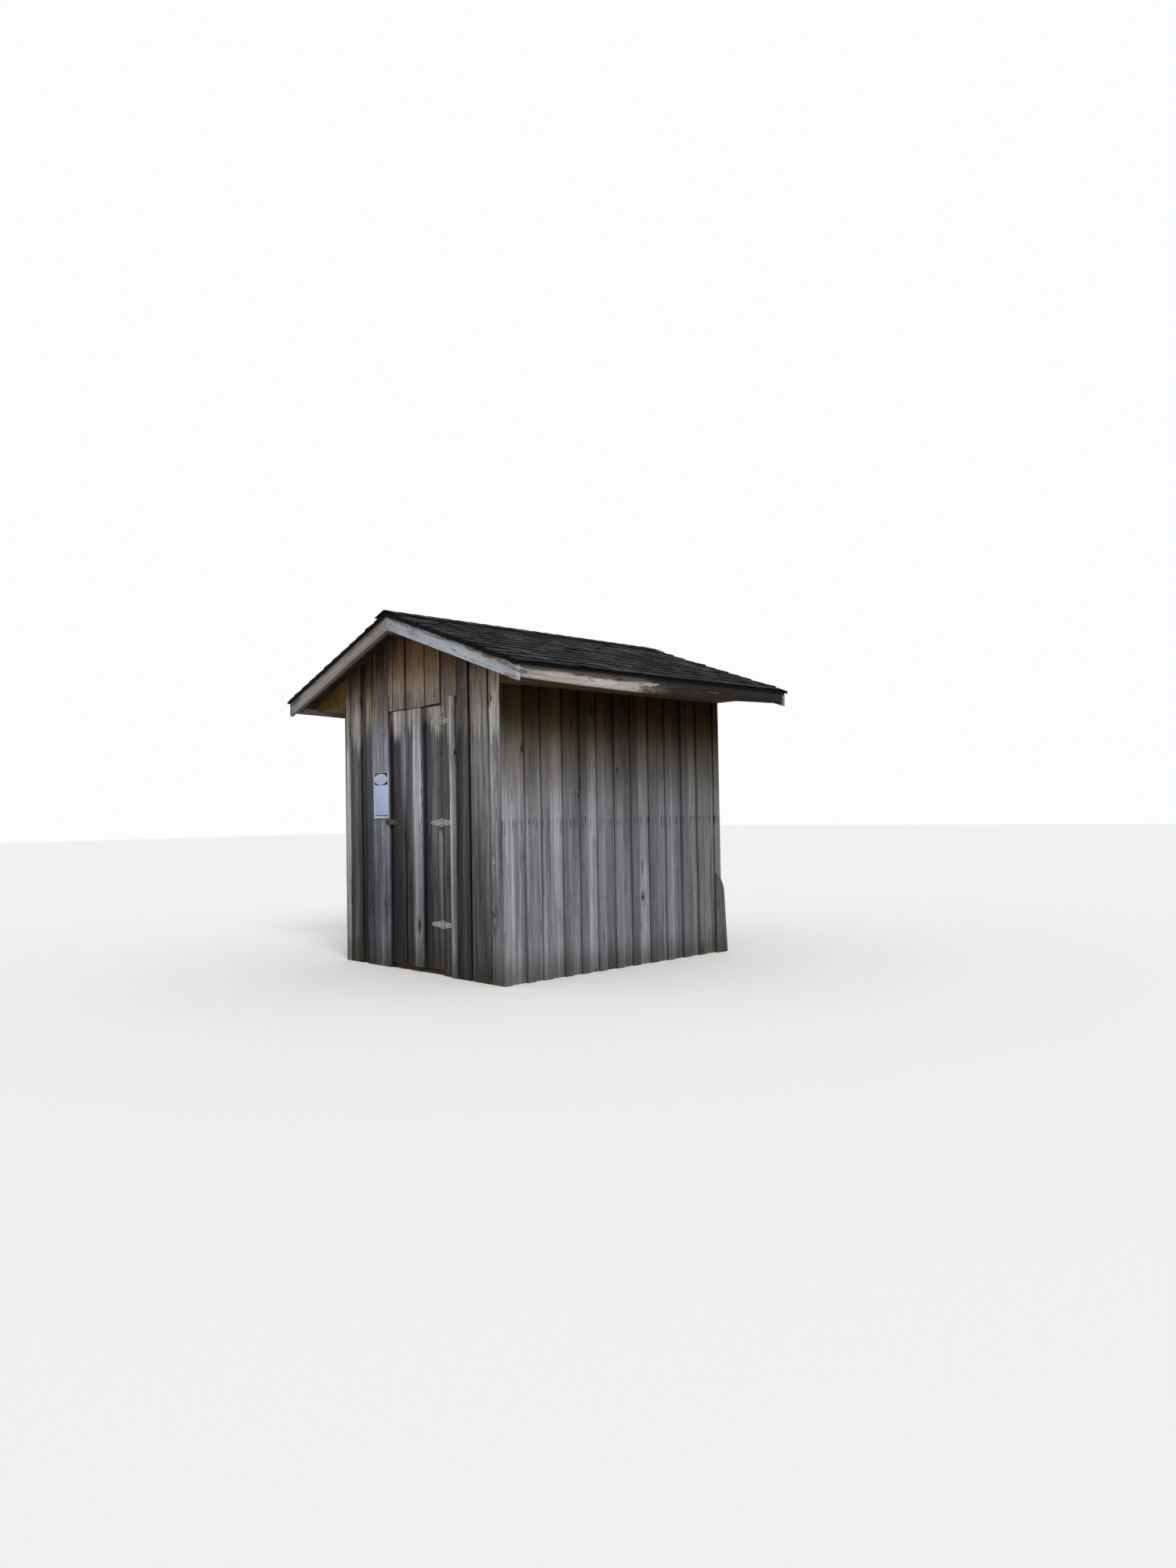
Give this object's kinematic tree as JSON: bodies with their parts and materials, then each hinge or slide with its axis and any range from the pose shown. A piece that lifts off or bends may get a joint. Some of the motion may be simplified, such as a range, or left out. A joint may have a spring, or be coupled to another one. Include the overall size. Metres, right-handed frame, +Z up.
{
  "type": "wooden outhouse",
  "caption": "Small board-and-batten wooden outhouse with a low gable roof, boxed eaves and a plank door that swings outwards on strap hinges.",
  "frame": {"origin": "on the ground, at the middle of the roof's plan outline", "axes": "+X to the right as seen facing the door, +Y from the door side to the back along the ridge, +Z up"},
  "size_m": [3.1612, 3.042, 2.8137],
  "materials": {
    "front_wall_wood": "weathered rough-sawn boards, dark slate grey to warm brown",
    "front_batten_wood": "weathered rough-sawn boards, grey-brown with silver edges",
    "door_wood": "weathered silver-grey boards",
    "side_wall_wood": "weathered boards, brown under the eave and silver-grey below",
    "side_batten_wood": "weathered battens, silver-grey",
    "roof_underside": "unpainted boards kept dry, warm brown",
    "frame_wood": "rough-sawn framing timber",
    "floor_wood": "worn floor boards",
    "painted_trim": "worn pale grey paint on boards",
    "asphalt_shingle": "charcoal mineral-surfaced asphalt shingles",
    "hinge_steel": "dull galvanised steel",
    "hasp_steel": "dull galvanised steel with rust",
    "sign_enamel": "pale blue-white enamel"
  },
  "bodies": {
    "building": {"floor_rims": "frame_wood", "floor_joists": "frame_wood", "floor_boards": "floor_wood", "wall_posts": "frame_wood", "side_plates": "frame_wood", "end_plates": "frame_wood", "wall_girts": "frame_wood", "gable_struts": "frame_wood", "rafters_left": "frame_wood", "rafters_right": "frame_wood", "ridge_board": "frame_wood", "roof_deck_left": "roof_underside", "roof_deck_right": "roof_underside", "shingles_left": "asphalt_shingle", "shingles_right": "asphalt_shingle", "ridge_cap": "asphalt_shingle", "fascia_left": "painted_trim", "fascia_right": "painted_trim", "rake_front_left": "painted_trim", "rake_front_right": "painted_trim", "rake_back_left": "painted_trim", "rake_back_right": "painted_trim", "soffit_left": "roof_underside", "soffit_right": "roof_underside", "left_wall_boards": "side_wall_wood", "left_wall_battens": "side_batten_wood", "right_wall_boards": "side_wall_wood", "right_wall_battens": "side_batten_wood", "back_wall_boards": "side_wall_wood", "back_wall_battens": "side_batten_wood", "front_boards_left": "front_wall_wood", "front_boards_right": "front_wall_wood", "front_boards_over_door": "front_wall_wood", "front_battens_left": "front_batten_wood", "front_battens_right": "front_batten_wood", "front_battens_over_door": "front_batten_wood", "hinge_jamb": "front_wall_wood", "sign_board": "sign_enamel", "hinge_wall_leaves": "hinge_steel", "hasp_staple": "hasp_steel"},
    "door": {"door_boards": "door_wood", "door_battens": "door_wood", "door_ledges": "frame_wood", "hinge_door_leaves": "hinge_steel", "hasp_strap": "hasp_steel"}
  },
  "joints": [
    {"name": "door_hinge", "type": "hinge", "parent": "building", "child": "door", "pos_m": [0.32, -1.2315, 1.165], "axis": [0, 0, 1], "range_deg": [0, 110]}
  ]
}
